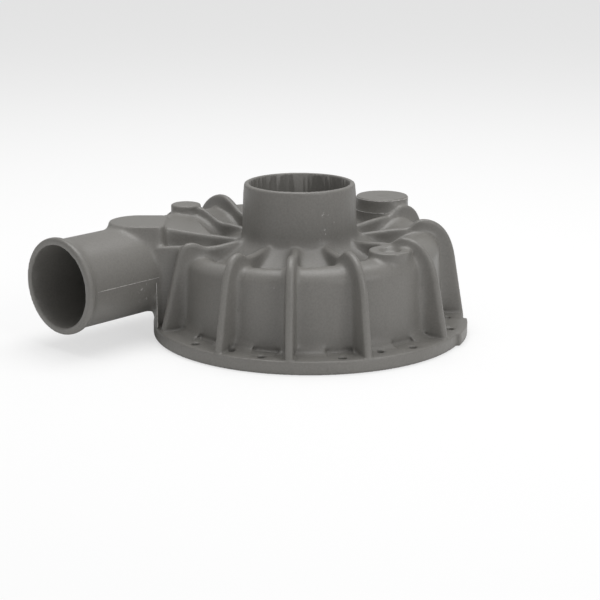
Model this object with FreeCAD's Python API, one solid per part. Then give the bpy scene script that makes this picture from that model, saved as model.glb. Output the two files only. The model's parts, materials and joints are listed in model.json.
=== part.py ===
import FreeCAD, Part
import math
import os
from FreeCAD import Rotation, Vector

# Volute pump casing, one plastic moulding. Millimetres, +Z up.
# The origin is the centre of the round flange, on its mounting face (z = 0).
# The outlet leaves to the left and front (-X, -Y), and the scroll grows anticlockwise seen from above.
# Angles are in degrees, anticlockwise from +X.

# ---------------------------------------------------------------- driving dimensions
FLANGE_R = 90.0
FLANGE_H = 7.4
LUG_R = 91.8                  # low locating lug on the flange's edge
LUG_START = 337.0
LUG_SWEEP = 21.0
SCREW_R = 2.3
SCREW_CIRCLE_R = 83.8
SCREW_COUNT = 12
SCREW_START = 222.0
POCKET_WIDTH = 15.0
VENT_R = 1.9                  # small holes through the foot of the skirt, beside the ribs
VENT_CIRCLE_R = 80.4
VENT_COUNT = 6
VENT_START = 238.3
COVE_R = 8.0                  # hollow-ground skirt between wall and flange
COVE_FOOT_R = 81.6

WALL = 3.2
INLET_X = -5.4                # the inlet axis stands this far off the flange centre
INLET_BORE_R = 28.7
INLET_TOP = 86.5
INLET_TIP_R = 31.5
INLET_ROOT_R = 33.1
FLOOR_Z = 55.4                # height of the conical floor where it meets the inlet tube

# The scroll at stations round the inlet axis: angle, radius of the wall's foot and of its top about the
# flange centre, distance of the crown from the inlet axis, height of the crown, drop from crown to wall
# top, distance and height of the valley between floor and crown.
SCROLL = [
    (187.0, 74.6, 72.8, 64.6, 49.3, 6.0, 51.0, 43.6),
    (213.0, 74.6, 72.8, 64.6, 49.7, 6.5, 50.5, 44.0),
    (240.0, 74.6, 72.6, 64.4, 50.6, 7.5, 50.0, 44.6),
    (267.0, 74.6, 72.2, 63.4, 51.4, 8.5, 49.5, 45.2),
    (297.0, 74.6, 72.0, 63.2, 52.5, 9.5, 49.0, 46.0),
    (330.0, 75.2, 73.0, 65.4, 54.2, 10.0, 48.0, 47.0),
    (366.5, 77.0, 75.2, 69.6, 55.9, 10.0, 47.0, 47.8),
    (395.0, 78.4, 76.8, 71.4, 57.4, 9.5, 47.0, 48.2),
    (425.0, 79.2, 78.0, 71.0, 59.0, 9.0, 47.5, 48.4),
    (458.0, 79.8, 78.6, 70.2, 60.5, 8.5, 48.0, 48.4),
    (490.0, 86.0, 82.5, 71.5, 61.4, 9.0, 48.0, 48.4),
    (518.0, 88.6, 84.5, 72.5, 61.6, 9.5, 48.0, 48.4),
    (547.0, 88.6, 84.5, 74.0, 61.6, 9.5, 48.0, 48.4),
]
SCROLL_JOIN = 6               # the station where its two halves meet, under a rib
CHAMBER_R = 78.2              # the chamber inside stays within this radius, less the wall
SHOULDER_SLOPE = 0.4          # the chamber's crown sinks by this much where that limit moves it in

PIPE_HEADING = 227.8          # direction of the outlet
PIPE_OFFSET = 72.2            # distance of its axis from the flange centre
PIPE_LENGTH = 126.0           # from the mouth to the point nearest to the flange centre
PIPE_Z = 36.6
PIPE_R = 25.4
PIPE_BORE_R = 23.3
THROAT_R = 23.6               # outside of the outlet where it leaves the scroll
BEAD_R = 27.2
BEAD_LENGTH = 4.6
TAIL_SWEEP = 66.0             # the outlet's tail fades into the scroll over this angle
TAIL_OVERLAP = 3.0

TURRET_DISTANCE = 60.0        # from the mouth, along the outlet
TURRET_TOP = 64.2
TURRET_TOP_R = 16.6
TURRET_FOOT_R = 22.0

RIB_THICK = 4.5
RIB_ROUND = 2.0
RIB_ROOT_Z = 56.2
# Ribs: angle, distance and height of the dip and of the bump about the inlet axis, then radius of the
# knee about the flange centre, its height, and radius of the toe.
RIBS = [
    (201.7, 55.0, 53.8, 65.6, 56.7, 81.6, 38.0, 88.8),
    (239.2, 54.8, 54.6, 65.6, 58.2, 83.6, 37.0, 89.4),
    (266.3, 54.0, 55.0, 64.8, 59.0, 84.0, 37.0, 89.4),
    (294.0, 53.6, 55.4, 64.4, 60.0, 84.0, 38.0, 89.4),
    (330.4, 56.0, 57.4, 66.6, 61.8, 83.2, 39.0, 89.4),
    (366.5, 60.4, 58.4, 71.4, 63.4, 85.6, 41.0, 91.4),
    (395.0, 63.0, 59.4, 74.6, 64.6, 86.0, 44.0, 89.4),
    (422.5, 62.0, 60.0, 72.4, 66.0, 86.4, 42.0, 89.4),
    (458.0, 60.6, 61.2, 71.4, 67.6, 86.4, 43.0, 89.4),
    (492.0, 46.0, 60.4, 69.6, 69.2, 96.0, 42.0, 89.4),
    (512.5, 48.0, 58.2, 69.0, 66.2, 99.0, 44.0, 89.4),
]

UP = Vector(0, 0, 1)
ORIGIN = Vector(0, 0, 0)
INLET = Vector(INLET_X, 0, 0)


def ray(angle):
    turn = math.radians(angle)
    return Vector(math.cos(turn), math.sin(turn), 0)


HEADING = ray(PIPE_HEADING)
SIDE = ray(PIPE_HEADING - 90.0)
TANGENT = SIDE * PIPE_OFFSET + UP * PIPE_Z
MOUTH = TANGENT + HEADING * PIPE_LENGTH
TURRET = TANGENT + HEADING * (PIPE_LENGTH - TURRET_DISTANCE)


def reach(angle, flange_radius):
    """Distance from the inlet axis, at this angle, out to a circle about the flange centre."""
    along = INLET.dot(ray(angle))
    return -along + math.sqrt(along ** 2 - INLET_X ** 2 + flange_radius ** 2)


def bezier(*poles):
    curve = Part.BezierCurve()
    curve.setPoles(list(poles))
    return curve.toShape()


def line(start, end):
    return Part.LineSegment(start, end).toShape()


def outline(points):
    ends = points[1:] + points[:1]
    return [line(start, end) for start, end in zip(points, ends)]


def prism(edges, height):
    return Part.Face(Part.Wire(edges)).extrude(height)


def revolved(edges, base, sweep=360.0):
    return Part.Face(Part.Wire(edges)).revolve(base, UP, sweep)


def spread(start, count):
    return [start + 360.0 * index / count for index in range(count)]


# ---------------------------------------------------------------- scroll
def scroll_section(station, skin, inner_r, bottom, limit):
    """Closed outline of the scroll in one half plane, a skin's depth under its outer surface."""
    angle, foot_r, top_r, crown_r, crown_z, drop, valley_r, valley_z = station
    out = ray(angle)

    def at(r, z):
        return INLET + out * r + UP * z

    shoulder_r = reach(angle, min(top_r, limit - 0.8))
    crown_z -= SHOULDER_SLOPE * max(0.0, crown_r - shoulder_r + 7.0)
    crown_r = min(crown_r, shoulder_r - 7.0)
    foot = at(reach(angle, min(foot_r, limit)) - skin, bottom)
    wall_top = at(shoulder_r - skin, crown_z - drop)
    crown = at(crown_r, crown_z - skin)
    valley = at(valley_r, valley_z - skin)
    slope = (FLOOR_Z - valley_z) / (valley_r - INLET_ROOT_R)
    inner_top = at(inner_r, valley_z - skin + slope * (valley_r - inner_r))
    inner_foot = at(inner_r, bottom)
    rise = UP * (0.55 * (drop - skin))
    run = out * (0.55 * (shoulder_r - skin - crown_r))
    fall = out * (0.45 * (crown_r - valley_r))
    return Part.Wire([
        line(inner_foot, foot),
        line(foot, wall_top),
        bezier(wall_top, wall_top + rise, crown + run, crown),
        bezier(crown, crown - fall, valley + fall * 0.7, valley),
        line(valley, inner_top),
        line(inner_top, inner_foot),
    ])


def scroll_run(stations, skin, inner_r, bottom, limit):
    wires = [scroll_section(station, skin, inner_r, bottom, limit) for station in stations]
    return Part.makeLoft(wires, True, False)


def scroll_bodies():
    runs = (SCROLL[:SCROLL_JOIN + 1], SCROLL[SCROLL_JOIN:])
    return [scroll_run(run, 0.0, 30.5, 1.0, FLANGE_R) for run in runs]


def chamber():
    """The hollow scroll in two runs. The wide run stops a wall short of the narrow one's start."""
    tongue = math.degrees(WALL / 60.0)
    first = (SCROLL[0][0] - tongue - 1.0,) + SCROLL[0][1:]
    last = (SCROLL[-1][0] - tongue,) + SCROLL[-1][1:]
    narrow = [first] + SCROLL[1:SCROLL_JOIN + 1]
    wide = SCROLL[SCROLL_JOIN:-1] + [last]
    return [
        scroll_run(narrow, WALL, 24.0, 0.0, CHAMBER_R),
        scroll_run(wide, WALL, 23.0, 0.0, CHAMBER_R),
    ]


# ---------------------------------------------------------------- outlet
def outlet_bar(mouth_r, throat_r, straight, start):
    """Round bar along the outlet: straight from the mouth, then tapering to the throat."""
    points = [
        Vector(0, 0, start),
        Vector(mouth_r, 0, start),
        Vector(mouth_r, 0, straight),
        Vector(throat_r, 0, PIPE_LENGTH),
        Vector(0, 0, PIPE_LENGTH),
    ]
    bar = revolved(outline(points), ORIGIN)
    bar.Placement = FreeCAD.Placement(MOUTH, Rotation(UP, HEADING * -1.0))
    return bar


def outlet_tail(start_r, tip_r):
    """The outlet's far end, bent round the casing and shrinking until it lies inside the scroll."""
    wires = []
    start = PIPE_HEADING - 90.0 + TAIL_OVERLAP
    for step in range(6):
        share = step / 5.0
        angle = start - TAIL_SWEEP * share
        centre = ray(angle) * (PIPE_OFFSET - 13.7 * share ** 1.5) + UP * PIPE_Z
        radius = start_r - 0.4 - (start_r - tip_r) * share ** 1.4
        wires.append(Part.Wire(Part.makeCircle(radius, centre, ray(angle + 90.0))))
    return Part.makeLoft(wires, True, False)


def outlet_bead():
    bead = Part.makeCylinder(BEAD_R, BEAD_LENGTH, MOUTH, HEADING * -1.0)
    return bead.makeFillet(1.3, [edge for edge in bead.Edges if edge.Closed])


def outlet_block():
    """Body between the outlet and the flange, flush with the flange's edge."""
    near = PIPE_OFFSET - PIPE_R + 0.4
    edge_r = FLANGE_R - 0.5
    corner = SIDE * near + HEADING * math.sqrt(edge_r ** 2 - near ** 2)
    back = ray(158.0) * edge_r
    arc = Part.Arc(corner, ray(178.0) * edge_r, back).toShape()
    inside = ray(150.0) * 76.0
    inner = SIDE * near + HEADING * 20.0
    edges = [arc, line(back, inside), line(inside, inner), line(inner, corner)]
    block = prism(edges, UP * (PIPE_Z - 1.0))
    block.translate(UP)
    return block


def turret():
    """Flat-topped tower on the outlet, drawn out to the right to meet the plateau."""
    def ring(radius, z):
        left = TURRET + UP * (z - PIPE_Z)
        side = Vector(0, radius, 0)
        end = left + Vector(12.0, 0, 0)
        turn = 4.0
        corner = Vector(turn, 0, 0)
        arc = Part.Arc(left + side, left - Vector(radius, 0, 0), left - side).toShape()
        inset = side - Vector(0, turn, 0)
        middle = Vector(0.7 * turn, -0.3 * turn, 0)
        front = Part.Arc(end - side, end - side + Vector(middle.x, 0.3 * turn, 0), end + corner - inset)
        back = Part.Arc(end + corner + inset, end + side + middle, end + side)
        return Part.Wire([
            arc,
            line(left - side, end - side),
            front.toShape(),
            line(end + corner - inset, end + corner + inset),
            back.toShape(),
            line(end + side, left + side),
        ])

    tower = Part.makeLoft([ring(TURRET_FOOT_R, 38.0), ring(TURRET_TOP_R, TURRET_TOP)], True, True)
    top_edges = [edge for edge in tower.Edges if edge.BoundBox.ZMin > TURRET_TOP - 0.01]
    return tower.makeFillet(1.2, top_edges)


# ---------------------------------------------------------------- ribs
def blade(origin, angle, crest, foot):
    """Upright web with a rounded crest. crest is a list of edges in the XZ plane, foot closes it below."""
    solid = prism(crest + foot, Vector(0, RIB_THICK, 0))
    rounded = []
    for edge in solid.Edges:
        middle = edge.valueAt(0.5 * (edge.FirstParameter + edge.LastParameter))
        shadow = Part.Vertex(Vector(middle.x, 0, middle.z))
        on_crest = min(top.distToShape(shadow)[0] for top in crest) < 0.01
        if on_crest and edge.BoundBox.YLength < 0.01:
            rounded.append(edge)
    solid = solid.makeFillet(RIB_ROUND, rounded)
    solid.translate(Vector(0, -0.5 * RIB_THICK, 0))
    solid.rotate(ORIGIN, UP, angle)
    solid.translate(origin)
    return solid


def rib(angle, dip_r, dip_z, bump_r, bump_z, knee_r, knee_z, toe_r):
    """A rib from the inlet tube over the dome and down to the flange's edge."""
    def at(r, z):
        return Vector(r, 0, z)

    root = at(31.0, RIB_ROOT_Z)
    dip = at(dip_r, dip_z)
    bump = at(bump_r, bump_z)
    knee = at(reach(angle, knee_r), knee_z)
    toe = at(reach(angle, toe_r), FLANGE_H - 0.6)
    lean = (toe - knee).normalize()
    level = at(0.38 * (dip.x - root.x), 0)
    sway = at(0.42 * (bump_r - dip_r), 0)
    crest = [
        bezier(root, root + level, dip - level, dip),
        bezier(dip, dip + sway, bump - sway, bump),
        bezier(bump, bump + at(0.55 * (knee.x - bump.x), 0), knee - lean * 14.0, knee),
        line(knee, toe),
    ]
    corners = [toe, at(toe.x, 2.0), at(60.0, 2.0), at(31.0, 44.0), root]
    foot = [line(start, end) for start, end in zip(corners, corners[1:])]
    return blade(INLET, angle, crest, foot)


def plateau_rib():
    """Straight rib along the plateau's front edge, from the inlet tube to the turret."""
    corners = [(31.0, 56.0), (40.0, 55.7), (57.0, 58.5), (78.0, 62.4), (78.0, 20.0), (31.0, 44.0)]
    points = [Vector(r, 0, z) for r, z in corners]
    edges = outline(points)
    return blade(INLET, SCROLL[0][0] - 0.6, edges[:3], edges[3:])


def crotch_web():
    """Web in the corner between the outlet and the first rib, with the ledge along its top."""
    start = Vector(-63.4, -22.2, 0)
    end = Vector(-86.5, -18.9, 0)
    span = (end - start).Length
    heading = math.degrees(math.atan2(end.y - start.y, end.x - start.x))
    points = [
        Vector(0, 0, 55.0),
        Vector(span, 0, 53.4),
        Vector(span, 0, 24.0),
        Vector(span - 6.0, 0, 2.0),
        Vector(0, 0, 2.0),
    ]
    edges = outline(points)
    return blade(start, heading, edges[:1], edges[1:])


def crotch_fill():
    """Fills the corner behind the web, between the scroll and the outlet."""
    corners = [(-55.0, -6.0), (-84.0, -8.0), (-84.0, -18.0), (-80.0, -19.0), (-66.0, -20.5), (-56.0, -14.0)]
    points = [Vector(x, y, 1.0) for x, y in corners]
    return prism(outline(points), UP * 48.6)


def plateau():
    """Gently coned shoulder where the scroll runs out into the outlet."""
    points = [(40.0, 30.0), (40.0, 55.2), (57.0, 58.5), (76.0, 62.2), (90.0, 62.2), (90.0, 30.0)]
    start = SCROLL[0][0] - 36.5
    corners = [INLET + ray(start) * r + UP * z for r, z in points]
    sector = revolved(outline(corners), INLET, 36.5)
    limit = Part.makeBox(200.0, 120.0, 100.0, Vector(-100.0, -120.0, 0))
    limit.rotate(ORIGIN, UP, PIPE_HEADING - 180.0)
    limit.translate(SIDE * (PIPE_OFFSET + 7.5))
    inner = Part.makeBox(60.0, 120.0, 60.0, Vector(0, -60.0, -40.0))
    inner.rotate(ORIGIN, Vector(0, 1, 0), -40.0)
    inner.rotate(ORIGIN, UP, 15.1)
    inner.translate(Vector(-57.4, -4.0, 58.5))
    return sector.common(limit).cut(inner)


# ---------------------------------------------------------------- flange, inlet and bosses
def plate(radius, inner, start, sweep):
    """Flat ring of the flange's thickness, with its outer corners broken."""
    corner = 0.5
    sides = [(inner, 0), (radius - corner, 0), (radius, corner)]
    sides += [(radius, FLANGE_H - corner), (radius - corner, FLANGE_H), (inner, FLANGE_H)]
    points = [ray(start) * r + UP * z for r, z in sides]
    return revolved(outline(points), ORIGIN, sweep)


def skirt():
    """Hollow-ground skirt between wall and flange, with a pocket at each screw."""
    top = FLANGE_H + COVE_R
    foot_r = COVE_FOOT_R
    start = Vector(foot_r, 0, FLANGE_H)
    end = Vector(foot_r - COVE_R, 0, top)
    middle = Vector(foot_r - 0.707 * COVE_R, 0, FLANGE_H + 0.293 * COVE_R)
    corners = [end, Vector(60.0, 0, top), Vector(60.0, 0, 2.0), Vector(foot_r, 0, 2.0), start]
    edges = [Part.Arc(start, middle, end).toShape()]
    edges += [line(near, far) for near, far in zip(corners, corners[1:])]
    ring = revolved(edges, ORIGIN)
    pocket = Part.makeBox(40.0, POCKET_WIDTH, 20.0, Vector(55.0, -0.5 * POCKET_WIDTH, FLANGE_H))
    for angle in spread(SCREW_START, SCREW_COUNT):
        cutter = pocket.copy()
        cutter.rotate(ORIGIN, UP, angle)
        ring = ring.cut(cutter)
    return ring


def inlet_tube():
    points = [
        (25.0, 50.0),
        (INLET_ROOT_R, 50.0),
        (INLET_TIP_R + 0.6, INLET_TOP - 6.0),
        (INLET_TIP_R, INLET_TOP),
        (25.0, INLET_TOP),
    ]
    tube = revolved(outline([INLET + Vector(r, 0, z) for r, z in points]), INLET)
    rim = [edge for edge in tube.Edges if edge.Closed and edge.BoundBox.ZMin > INLET_TOP - 0.1]
    outer = max(rim, key=lambda edge: edge.Length)
    return tube.makeFillet(1.0, [outer])


def boss(x, y, radius, top, base):
    post = Part.makeCylinder(radius, top - base, Vector(x, y, base))
    rim = [edge for edge in post.Edges if edge.Closed and edge.BoundBox.ZMin > top - 0.01]
    return post.makeFillet(0.6, rim)


SMALL_BOSS = (-72.9, 35.0)
LARGE_BOSS = (44.6, 56.0)
CUPPED_BOSS = (44.0, -40.0)


def outside():
    bodies = [
        plate(LUG_R, 80.0, LUG_START, LUG_SWEEP),
        skirt(),
        outlet_block(),
        outlet_bar(PIPE_R, THROAT_R, TURRET_DISTANCE, 0.5),
        outlet_tail(THROAT_R, 16.0),
        outlet_bead(),
        turret(),
        plateau(),
        plateau_rib(),
        crotch_fill(),
        crotch_web(),
        inlet_tube(),
        boss(*SMALL_BOSS, 8.8, 67.0, 45.0),
        boss(*LARGE_BOSS, 15.8, 68.0, 45.0),
        boss(*LARGE_BOSS, 16.5, 60.0, 40.0),
        boss(*CUPPED_BOSS, 11.6, 56.5, 36.0),
    ]
    bodies += scroll_bodies()
    bodies += [rib(*values) for values in RIBS]
    return plate(FLANGE_R, 0.0, 0.0, 360.0).multiFuse(bodies)


def hollows():
    bodies = [
        Part.makeCylinder(INLET_BORE_R, INLET_TOP + 2.0, INLET - UP),
        outlet_bar(PIPE_BORE_R, THROAT_R - 2.8, TURRET_DISTANCE - 15.0, -1.0),
        outlet_tail(THROAT_R - 2.8, 13.0),
        Part.makeCylinder(4.2, 3.0, Vector(LARGE_BOSS[0] + 0.5, LARGE_BOSS[1] - 3.0, 67.0)),
        Part.makeCylinder(6.3, 6.0, Vector(*CUPPED_BOSS, 53.2)),
    ]
    bodies += chamber()
    for angle in spread(SCREW_START, SCREW_COUNT):
        bodies.append(Part.makeCylinder(SCREW_R, FLANGE_H + 1.5, ray(angle) * SCREW_CIRCLE_R - UP))
    for angle in spread(VENT_START, VENT_COUNT):
        bodies.append(Part.makeCylinder(VENT_R, 14.0, ray(angle) * VENT_CIRCLE_R - UP))
    return bodies


os.makedirs("parts", exist_ok=True)
casing = outside().cut(hollows()).removeSplitter()
print("solids", len(casing.Solids), "faces", len(casing.Faces), "valid", casing.isValid())
print("volume", round(casing.Volume), "size", casing.BoundBox)
casing.exportStep("parts/volute_casing.step")
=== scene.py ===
# %% [markdown]
# # A volute pump casing
# This is the plastic casing of a small centrifugal water pump. Water comes in through the upright spigot,
# the impeller throws it outwards into the spiral channel under the dome, and it leaves by the long
# outlet on the left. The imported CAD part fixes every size. Here it gets the soft corners, the moulding
# flash and the surface that a real moulded casing has.

# %% Load the frame
import json
import math

import bmesh
import bpy
import numpy as np
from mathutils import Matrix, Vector
from mathutils.bvhtree import BVHTree


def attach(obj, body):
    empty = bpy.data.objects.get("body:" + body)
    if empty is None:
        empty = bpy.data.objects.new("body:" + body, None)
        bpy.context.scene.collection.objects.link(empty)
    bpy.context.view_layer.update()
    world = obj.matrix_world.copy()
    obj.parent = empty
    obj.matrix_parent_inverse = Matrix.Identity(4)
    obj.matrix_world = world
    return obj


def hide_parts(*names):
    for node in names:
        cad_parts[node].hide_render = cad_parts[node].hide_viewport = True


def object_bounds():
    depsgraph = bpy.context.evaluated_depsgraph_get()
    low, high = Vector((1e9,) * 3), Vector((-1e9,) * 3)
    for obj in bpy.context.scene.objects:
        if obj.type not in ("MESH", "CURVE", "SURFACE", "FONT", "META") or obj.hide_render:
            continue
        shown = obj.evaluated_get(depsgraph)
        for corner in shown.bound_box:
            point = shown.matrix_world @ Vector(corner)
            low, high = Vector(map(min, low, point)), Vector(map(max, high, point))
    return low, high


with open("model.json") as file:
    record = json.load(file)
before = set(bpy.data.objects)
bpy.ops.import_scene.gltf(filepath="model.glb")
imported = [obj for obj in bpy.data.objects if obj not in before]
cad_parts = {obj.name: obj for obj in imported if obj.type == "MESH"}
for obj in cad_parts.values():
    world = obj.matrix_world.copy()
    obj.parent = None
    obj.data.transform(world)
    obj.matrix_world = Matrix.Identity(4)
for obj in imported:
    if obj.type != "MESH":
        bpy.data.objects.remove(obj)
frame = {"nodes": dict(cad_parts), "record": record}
cad_box = [list(corner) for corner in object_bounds()]
MM = 0.001
print("CAD box in mm:", [[round(v / MM, 1) for v in corner] for corner in cad_box])

# %% [markdown]
# ## The axes that the casing is built on
# Two round shapes govern everything: the inlet spigot, which stands a little off the flange's centre, and
# the outlet, whose axis lies flat and passes the flange's centre at a distance. Both are read from the
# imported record's mounts, so they follow the CAD part if it changes.

# %% Read the axes from the record
mounts = {mount["name"]: mount for mount in frame["record"]["mounts"]}
inlet_axis = np.array(mounts["inlet_bore"]["pos_m"][:2])
inlet_bore_r = mounts["inlet_bore"]["dims"]["r_mm"] * MM
outlet_mouth = np.array(mounts["outlet_bore"]["pos_m"])
outlet_heading = np.array(mounts["outlet_bore"]["axis"])
outlet_side = np.array([outlet_heading[1], -outlet_heading[0], 0.0])
outlet_bore_r = mounts["outlet_bore"]["dims"]["r_mm"] * MM
print("inlet axis", inlet_axis, "outlet mouth", outlet_mouth, "heading", outlet_heading)

# %% [markdown]
# ## One mesh from loose triangles
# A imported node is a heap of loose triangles. A copy of it is welded and then rebuilt by a voxel remesh,
# which gives small, even faces all over. Only such a mesh can be rounded smoothly. Bevels would be the
# other way, but bevels at the foot of a rib that climbs over a dome seldom survive.

# %% Weld a copy and rebuild it in even faces
def welded_copy(node, name):
    piece = frame["nodes"][node].copy()
    piece.data = frame["nodes"][node].data.copy()
    piece.name = name
    piece.data.name = name
    for key in [key for key in piece.keys() if key.startswith("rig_")]:
        del piece[key]
    piece.parent = None
    bpy.context.scene.collection.objects.link(piece)
    shape = bmesh.new()
    shape.from_mesh(piece.data)
    bmesh.ops.remove_doubles(shape, verts=shape.verts, dist=0.002 * MM)
    shape.to_mesh(piece.data)
    shape.free()
    return piece


def baked(piece):
    """Turns a piece and its modifiers into a plain mesh."""
    solved = piece.evaluated_get(bpy.context.evaluated_depsgraph_get())
    mesh = bpy.data.meshes.new_from_object(solved)
    piece.modifiers.clear()
    old = piece.data
    piece.data = mesh
    bpy.data.meshes.remove(old)
    mesh.name = piece.name
    return piece


VOXEL = 0.85 * MM
casing = welded_copy("volute_casing", "casing_moulding")
true_surface = BVHTree.FromObject(casing, bpy.context.evaluated_depsgraph_get())
remesh = casing.modifiers.new("even faces", "REMESH")
remesh.mode = "VOXEL"
remesh.voxel_size = VOXEL
baked(casing)
print("even mesh:", len(casing.data.vertices), "points")

# %% [markdown]
# ## Where the surface may be softened
# Root fillets belong where ribs and bosses meet the dome, not in bores, screw holes or the flat flange.
# Each point gets a weight from 0 to 1 that says how freely it may move.

# %% Weigh the points
count = len(casing.data.vertices)
points = np.empty(count * 3)
casing.data.vertices.foreach_get("co", points)
points = points.reshape(-1, 3)


def ramp(values, low, high):
    """0 below low, 1 above high, and smooth between them."""
    share = np.clip((values - low) / (high - low), 0.0, 1.0)
    return share * share * (3.0 - 2.0 * share)


from_inlet = np.hypot(points[:, 0] - inlet_axis[0], points[:, 1] - inlet_axis[1])
to_outlet = points - outlet_mouth
off_outlet = np.hypot(to_outlet @ outlet_side, to_outlet[:, 2])
along_outlet = -(to_outlet @ outlet_heading)
freedom = ramp(points[:, 2], 8.2 * MM, 11.0 * MM)
freedom *= ramp(from_inlet, inlet_bore_r + 0.6 * MM, inlet_bore_r + 1.4 * MM)
inside_outlet = (along_outlet < 100 * MM) & (off_outlet < outlet_bore_r + 0.8 * MM)
freedom[inside_outlet] = 0.0
print("free points:", int((freedom > 0.5).sum()))

# %% [markdown]
# ## Root fillets by a one-way flow
# Moving each point towards the middle of its neighbours smooths a mesh, but it also rounds off every
# crest. Here a point moves only when that takes it outwards, so hollow corners fill up to a smooth
# radius while crests and rims stay as they are. Repeating the small step many times is how the radius grows.

# %% Fill the hollow corners
edges = np.empty(len(casing.data.edges) * 2, dtype=np.int64)
casing.data.edges.foreach_get("vertices", edges)
ends = edges.reshape(-1, 2)
both = np.concatenate([ends, ends[:, ::-1]])
valence = np.maximum(np.bincount(both[:, 0], minlength=count), 1)[:, None]


def neighbour_mean(values):
    total = [np.bincount(both[:, 0], weights=values[both[:, 1], axis], minlength=count) for axis in range(3)]
    return np.stack(total, axis=1) / valence


def point_normals(values):
    casing.data.vertices.foreach_set("co", values.ravel())
    casing.data.update()
    normals = np.empty(count * 3)
    casing.data.vertices.foreach_get("normal", normals)
    return normals.reshape(-1, 3)


for step in range(4):
    points += 0.5 * (neighbour_mean(points) - points) * freedom[:, None]
    points -= 0.51 * (neighbour_mean(points) - points) * freedom[:, None]
start = points.copy()
FILL_STEPS = 36
for step in range(FILL_STEPS):
    if step % 6 == 0:
        normals = point_normals(points)
    drift = ((neighbour_mean(points) - points) * normals).sum(axis=1)
    outward = np.maximum(drift - 0.002 * MM, 0.0) * freedom
    points += 0.9 * outward[:, None] * normals
fill = np.linalg.norm(points - start, axis=1)
print("deepest fillet, mm:", round(float(fill.max()) / MM, 2))

# %% Settle the still points on the true surface
for index in np.nonzero(freedom < 0.5)[0]:
    near = true_surface.find_nearest(Vector(points[index]))[0]
    if near is not None:
        points[index] = near
points = np.clip(points, cad_box[0], cad_box[1])
casing.data.vertices.foreach_set("co", points.ravel())
casing.data.update()

# %% Thin the even mesh out
reduce = casing.modifiers.new("fewer faces", "DECIMATE")
reduce.ratio = min(1.0, 185000 / (2.0 * len(casing.data.polygons)))
baked(casing)
casing.data.shade_smooth()
print("casing moulding:", sum(len(face.vertices) - 2 for face in casing.data.polygons), "triangles")
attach(casing, "root")
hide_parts("volute_casing")

# %% [markdown]
# ## A helper for every node
# Materials and Geometry Nodes trees are both graphs of nodes. One function adds a node, sets its
# properties and fills its inputs, with plain values or with links from other nodes' outputs.

# %% One helper for all nodes, and one for colours
def add(tree, kind, inputs=None, **settings):
    made = tree.nodes.new(kind)
    for name, value in settings.items():
        setattr(made, name, value)
    for key, value in (inputs or {}).items():
        if isinstance(value, bpy.types.NodeSocket):
            tree.links.new(value, made.inputs[key])
        else:
            made.inputs[key].default_value = value
    return made


def colour(code):
    """sRGB hex, such as #7a7873, to linear RGBA."""
    parts = [int(code[place:place + 2], 16) / 255.0 for place in (1, 3, 5)]
    linear = [p / 12.92 if p <= 0.04045 else ((p + 0.055) / 1.055) ** 2.4 for p in parts]
    return (*linear, 1.0)


def new_material(name):
    material = bpy.data.materials.new(name)
    material.use_nodes = True
    material.node_tree.nodes.clear()
    return material, material.node_tree


# %% [markdown]
# ## Glass-filled polypropylene
# Pump casings like this one are injection moulded in dark grey polypropylene with glass fibre. The fibre
# dulls the gloss to a satin, clouds the grey a little, and shows as pale specks. Where the casing has
# been rubbed, it turns chalky white, and the same chalky mix also paints the white floor's reflection on the
# outlet's lower side. Each of these is a noise at its own real scale, in millimetres.

# %% The casing's plastic
plastic, tree = new_material("moulded_polypropylene_grey")
place = add(tree, "ShaderNodeTexCoord").outputs["Object"]

CLOUD_MM = 35.0
cloud = add(tree, "ShaderNodeTexNoise", {"Vector": place, "Scale": 1000 / CLOUD_MM, "Detail": 3.0})
GRAIN_MM = 1.1       # the real grain is about 0.1 mm, drawn coarser so that it shows
grain = add(tree, "ShaderNodeTexNoise", {"Vector": place, "Scale": 1000 / GRAIN_MM, "Detail": 2.0})
SPECK_MM = 2.6
speck = add(tree, "ShaderNodeTexNoise", {"Vector": place, "Scale": 1000 / SPECK_MM, "Detail": 4.0, "Roughness": 0.7})

body_colour = add(tree, "ShaderNodeMix", {
    "Factor": cloud.outputs["Fac"],
    "A": colour("#6f6d69"),
    "B": colour("#7d7b77"),
}, data_type="RGBA")
grain_shade = add(tree, "ShaderNodeMapRange", {
    "Value": grain.outputs["Fac"], "From Min": 0.3, "From Max": 0.7, "To Min": 0.93, "To Max": 1.07,
})
grained = add(tree, "ShaderNodeVectorMath", {
    0: body_colour.outputs["Result"], 3: grain_shade.outputs["Result"],
}, operation="SCALE")
print("plastic: base and grain done")

# %% [markdown]
# ## Scuffs where the casing was rubbed, and a painted floor reflection
# A scuff is kept to one place by a soft ball round a point, and broken up inside that ball by the fine
# speck noise. Adding up a few of them gives one mask for chalky white wear and painted light: the two
# balls on the outlet's lower near side paint the white floor's reflection there, not wear.

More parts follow.
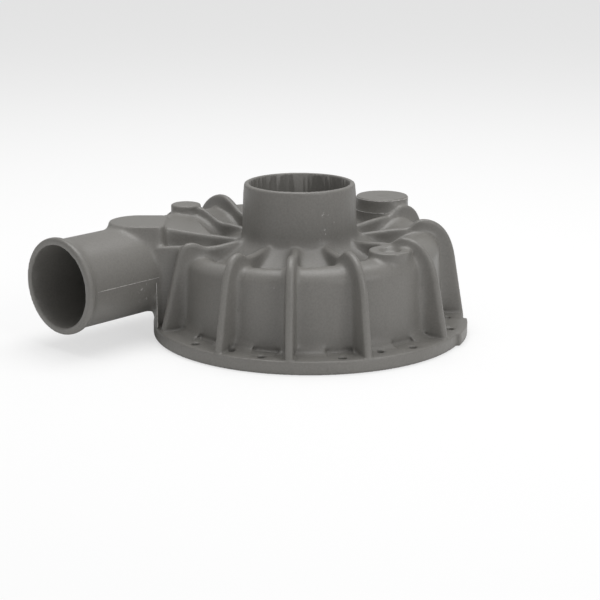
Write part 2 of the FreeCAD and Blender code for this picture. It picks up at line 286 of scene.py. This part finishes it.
# %% Scuff and painted-reflection places, in mm: x, y, z, reach, strength
SCUFFS_AND_REFLECTIONS = [
    (11.0, -29.0, 70.0, 11.0, 1.0),
    (8.0, -31.0, 61.0, 6.0, 0.8),
    (-43.0, -80.0, 16.0, 10.0, 0.9),
    # painted reflection: these two balls whiten the outlet's lower near side, where the white floor lights it
    (-92.0, -30.0, 30.0, 14.0, 0.9),
    (-112.0, -52.0, 30.0, 10.0, 0.6),
    (-20.0, -72.0, 41.0, 7.0, 0.5),
    (2.0, -71.0, 38.0, 4.0, 0.7),
    (-5.0, -88.0, 9.0, 12.0, 0.5),
    (62.0, -50.0, 12.0, 10.0, 0.5),
]
wear_and_reflection = None
for x, y, z, reach, strength in SCUFFS_AND_REFLECTIONS:
    away = add(tree, "ShaderNodeVectorMath", {0: place, 1: (x * MM, y * MM, z * MM)}, operation="DISTANCE")
    ball = add(tree, "ShaderNodeMapRange", {
        "Value": away.outputs["Value"], "From Min": reach * MM, "From Max": 0.35 * reach * MM,
        "To Min": 0.0, "To Max": strength,
    }, interpolation_type="SMOOTHSTEP")
    if wear_and_reflection is None:
        wear_and_reflection = ball.outputs["Result"]
    else:
        wear_and_reflection = add(tree, "ShaderNodeMath", {0: wear_and_reflection, 1: ball.outputs["Result"]}, operation="MAXIMUM").outputs[0]
threshold = add(tree, "ShaderNodeMath", {0: wear_and_reflection, 1: -0.16, 2: 0.76}, operation="MULTIPLY_ADD")
over = add(tree, "ShaderNodeMath", {0: speck.outputs["Fac"], 1: threshold.outputs[0]}, operation="SUBTRACT")
chalk_and_reflection = add(tree, "ShaderNodeMapRange", {
    "Value": over.outputs[0], "From Min": 0.0, "From Max": 0.06, "To Min": 0.0, "To Max": 0.85,
})
print("plastic:", len(SCUFFS_AND_REFLECTIONS), "scuffs")

# %% Join colour, roughness and relief in the shader
# the pale mix is real rubbed wear, and on the outlet's underside a painted floor reflection
final_colour = add(tree, "ShaderNodeMix", {
    "Factor": chalk_and_reflection.outputs["Result"], "A": grained.outputs["Vector"], "B": colour("#b9b8b5"),
}, data_type="RGBA")
sheen = add(tree, "ShaderNodeMapRange", {
    "Value": cloud.outputs["Fac"], "From Min": 0.3, "From Max": 0.7, "To Min": 0.36, "To Max": 0.46,
})
dull = add(tree, "ShaderNodeMath", {0: chalk_and_reflection.outputs["Result"], 1: 0.3, 2: sheen.outputs["Result"]}, operation="MULTIPLY_ADD")
relief = add(tree, "ShaderNodeBump", {"Strength": 0.25, "Distance": 0.05 * MM, "Height": grain.outputs["Fac"]})
surface = add(tree, "ShaderNodeBsdfPrincipled", {
    "Base Color": final_colour.outputs["Result"],
    "Roughness": dull.outputs[0],
    "Normal": relief.outputs["Normal"],
    "IOR": 1.49,
})
add(tree, "ShaderNodeOutputMaterial", {"Surface": surface.outputs["BSDF"]})
casing.data.materials.clear()
casing.data.materials.append(plastic)
frame["nodes"]["volute_casing"].data.materials.clear()
frame["nodes"]["volute_casing"].data.materials.append(plastic)
print("plastic: finished")

# %% [markdown]
# ## Moulding flash
# Flash is the thin, torn skin of plastic that squeezes into the joint between two halves of a mould. It
# follows the joint as a ragged line. A Geometry Nodes tree is the right tool: it takes any path, breaks
# it into short steps, jitters each step and varies the thickness with noise, then skins it.

# %% The pale, torn edge of the flash
torn, tree = new_material("torn_polypropylene_edge")
place = add(tree, "ShaderNodeTexCoord").outputs["Object"]
fibre = add(tree, "ShaderNodeTexNoise", {"Vector": place, "Scale": 1000 / 1.5, "Detail": 2.0})
tone = add(tree, "ShaderNodeMix", {
    "Factor": fibre.outputs["Fac"], "A": colour("#85837f"), "B": colour("#c9c7c4"),
}, data_type="RGBA")
edge = add(tree, "ShaderNodeBsdfPrincipled", {"Base Color": tone.outputs["Result"], "Roughness": 0.5, "IOR": 1.49})
add(tree, "ShaderNodeOutputMaterial", {"Surface": edge.outputs["BSDF"]})
print("torn edge material done")

# %% The flash tree
flash_tree = bpy.data.node_groups.new("moulding_flash", "GeometryNodeTree")
face = flash_tree.interface
face.new_socket("Geometry", in_out="INPUT", socket_type="NodeSocketGeometry")
for name, kind, value in [
    ("Thickness", "NodeSocketFloat", 0.3 * MM),
    ("Raggedness", "NodeSocketFloat", 0.3 * MM),
    ("Step", "NodeSocketFloat", 0.7 * MM),
    ("Seed", "NodeSocketFloat", 1.0),
]:
    face.new_socket(name, in_out="INPUT", socket_type=kind).default_value = value
face.new_socket("Geometry", in_out="OUTPUT", socket_type="NodeSocketGeometry")
given = add(flash_tree, "NodeGroupInput").outputs
stepped = add(flash_tree, "GeometryNodeResampleCurve", {
    "Curve": given["Geometry"], "Length": given["Step"],
}, mode="LENGTH")
spot = add(flash_tree, "GeometryNodeInputPosition")
tear = add(flash_tree, "ShaderNodeTexNoise", {
    "Vector": spot.outputs[0], "W": given["Seed"], "Scale": 1000 / 3.0, "Detail": 3.0, "Roughness": 0.75,
}, noise_dimensions="4D")
centred = add(flash_tree, "ShaderNodeVectorMath", {0: tear.outputs["Color"], 1: (0.5, 0.5, 0.5)}, operation="SUBTRACT")
jitter = add(flash_tree, "ShaderNodeVectorMath", {0: centred.outputs["Vector"], 3: given["Raggedness"]}, operation="SCALE")
moved = add(flash_tree, "GeometryNodeSetPosition", {"Geometry": stepped.outputs["Curve"], "Offset": jitter.outputs["Vector"]})
swell = add(flash_tree, "ShaderNodeMapRange", {
    "Value": tear.outputs["Fac"], "From Min": 0.36, "From Max": 0.64, "To Min": 0.15, "To Max": 1.25,
})
radius = add(flash_tree, "ShaderNodeMath", {0: swell.outputs["Result"], 1: given["Thickness"]}, operation="MULTIPLY")
sized = add(flash_tree, "GeometryNodeSetCurveRadius", {"Curve": moved.outputs["Geometry"], "Radius": radius.outputs[0]})
profile = add(flash_tree, "GeometryNodeCurvePrimitiveCircle", {"Resolution": 5, "Radius": 1.0})
skin = add(flash_tree, "GeometryNodeCurveToMesh", {
    "Curve": sized.outputs["Curve"], "Profile Curve": profile.outputs["Curve"], "Fill Caps": True,
})
if "Scale" in skin.inputs:
    reader = add(flash_tree, "GeometryNodeInputRadius")
    flash_tree.links.new(reader.outputs[0], skin.inputs["Scale"])
real = add(flash_tree, "GeometryNodeRealizeInstances", {"Geometry": skin.outputs["Mesh"]})
painted = add(flash_tree, "GeometryNodeSetMaterial", {"Geometry": real.outputs["Geometry"], "Material": torn})
add(flash_tree, "NodeGroupOutput", {"Geometry": painted.outputs["Geometry"]})
print("flash tree:", len(flash_tree.nodes), "nodes")


# %% Paths that the flash follows
def arc(centre, reach, height, first, last, steps=48):
    turns = [math.radians(first + (last - first) * step / steps) for step in range(steps + 1)]
    return [(centre[0] + reach * math.cos(t), centre[1] + reach * math.sin(t), height) for t in turns]


mouth_mm = outlet_mouth / MM
near_side = -outlet_side
PIPE_R = 25.4
seam = [tuple(mouth_mm - outlet_heading * along + near_side * PIPE_R) for along in (4.8, 20.0, 40.0, 58.0)]
FLASH = {
    "flash_outlet_seam": ([seam], 0.22, 0.25),
    "flash_body_corner": ([[(-85.7, -25.7, height) for height in (34.0, 26.0, 17.0, 8.0)]], 0.4, 0.5),
    "flash_screw_boss": ([arc((44.6, 56.0), 15.6, 67.2, 175.0, 365.0), arc((44.6, 56.0), 16.4, 60.0, 190.0, 350.0)], 0.3, 0.7),
}
print("flash paths:", list(FLASH))

# %% Run each path through the tree and keep the plain mesh
def flash_piece(name, paths, thickness, raggedness, seed):
    line = bpy.data.curves.new(name + "_path", "CURVE")
    line.dimensions = "3D"
    for path in paths:
        spline = line.splines.new("POLY")
        spline.points.add(len(path) - 1)
        for point, corner in zip(spline.points, path):
            point.co = (*[value * MM for value in corner], 1.0)
    piece = bpy.data.objects.new(name + "_line", line)
    bpy.context.scene.collection.objects.link(piece)
    modifier = piece.modifiers.new("flash", "NODES")
    modifier.node_group = flash_tree
    wanted = {"Thickness": thickness * MM, "Raggedness": raggedness * MM, "Seed": float(seed)}
    for socket in flash_tree.interface.items_tree:
        if socket.in_out == "INPUT" and socket.name in wanted:
            modifier[socket.identifier] = wanted[socket.name]
    mesh = bpy.data.meshes.new_from_object(piece.evaluated_get(bpy.context.evaluated_depsgraph_get()))
    bpy.data.objects.remove(piece)
    made = bpy.data.objects.new(name, mesh)
    mesh.name = name
    bpy.context.scene.collection.objects.link(made)
    made.data.shade_smooth()
    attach(made, "root")
    print(name, len(mesh.polygons), "faces")
    return made


for seed, (name, (paths, thickness, raggedness)) in enumerate(FLASH.items()):
    flash_piece(name, paths, thickness, raggedness, seed)

# %% [markdown]
# ## Floor, light and camera
# A pale floor and a white surrounding give the plain studio look. The floor shows itself to the camera as
# nearly white and still takes the casing's shadow. A wide softbox overhead puts the broad shine on the
# dome's shoulder, and a weaker one in front and to the right keeps the walls from going dark.

# %% Floor and surroundings
floor_mesh = bpy.data.meshes.new("studio_floor")
SPAN = 6.0
floor_mesh.from_pydata([(-SPAN, -SPAN, 0), (SPAN, -SPAN, 0), (SPAN, SPAN, 0), (-SPAN, SPAN, 0)], [], [(0, 1, 2, 3)])
floor = bpy.data.objects.new("studio_floor", floor_mesh)
bpy.context.scene.collection.objects.link(floor)
floor.location.z = -0.0002
paper, tree = new_material("white_paper")
matt = add(tree, "ShaderNodeBsdfDiffuse", {"Color": colour("#f4f4f4")})
glow = add(tree, "ShaderNodeEmission", {"Color": (1, 1, 1, 1), "Strength": 1.0})
eye = add(tree, "ShaderNodeLightPath")
share = add(tree, "ShaderNodeMath", {0: eye.outputs["Is Camera Ray"], 1: 0.6}, operation="MULTIPLY")
blend = add(tree, "ShaderNodeMixShader", {0: share.outputs[0], 1: matt.outputs[0], 2: glow.outputs[0]})
add(tree, "ShaderNodeOutputMaterial", {"Surface": blend.outputs[0]})
floor_mesh.materials.append(paper)

world = bpy.data.worlds.new("white_room")
bpy.context.scene.world = world
world.use_nodes = True
tree = world.node_tree
tree.nodes.clear()
eye = add(tree, "ShaderNodeLightPath")
seen = add(tree, "ShaderNodeMath", {0: eye.outputs["Is Camera Ray"], 1: 0.55, 2: 0.45}, operation="MULTIPLY_ADD")
sky = add(tree, "ShaderNodeBackground", {"Color": (1, 1, 1, 1), "Strength": seen.outputs[0]})
add(tree, "ShaderNodeOutputWorld", {"Surface": sky.outputs[0]})
print("floor and surroundings done")


# %% Softboxes
def softbox(name, place, aim, size, power):
    lamp = bpy.data.lights.new(name, "AREA")
    lamp.shape = "SQUARE"
    lamp.size = size
    lamp.energy = power
    made = bpy.data.objects.new(name, lamp)
    bpy.context.scene.collection.objects.link(made)
    made.location = place
    made.rotation_euler = (Vector(aim) - Vector(place)).to_track_quat("-Z", "Y").to_euler()
    return made


middle = ((Vector(cad_box[0]) + Vector(cad_box[1])) / 2)
softbox("softbox_overhead", (0.0, 0.15, 1.1), middle, 0.9, 9.0)
softbox("softbox_front_right", (0.9, -0.9, 0.7), middle, 0.6, 4.0)
print("softboxes done")

# %% Camera
lens = bpy.data.cameras.new("camera")
lens.sensor_width = 36.0
lens.lens = 92.94
lens.clip_end = 20.0
camera = bpy.data.objects.new("camera", lens)
bpy.context.scene.collection.objects.link(camera)
camera.location = (-0.00515, -0.868, 0.2499)
camera.rotation_euler = (math.radians(90.0 - 15.01), 0.0, 0.0)
bpy.context.scene.camera = camera
bpy.context.scene.view_settings.view_transform = "Standard"
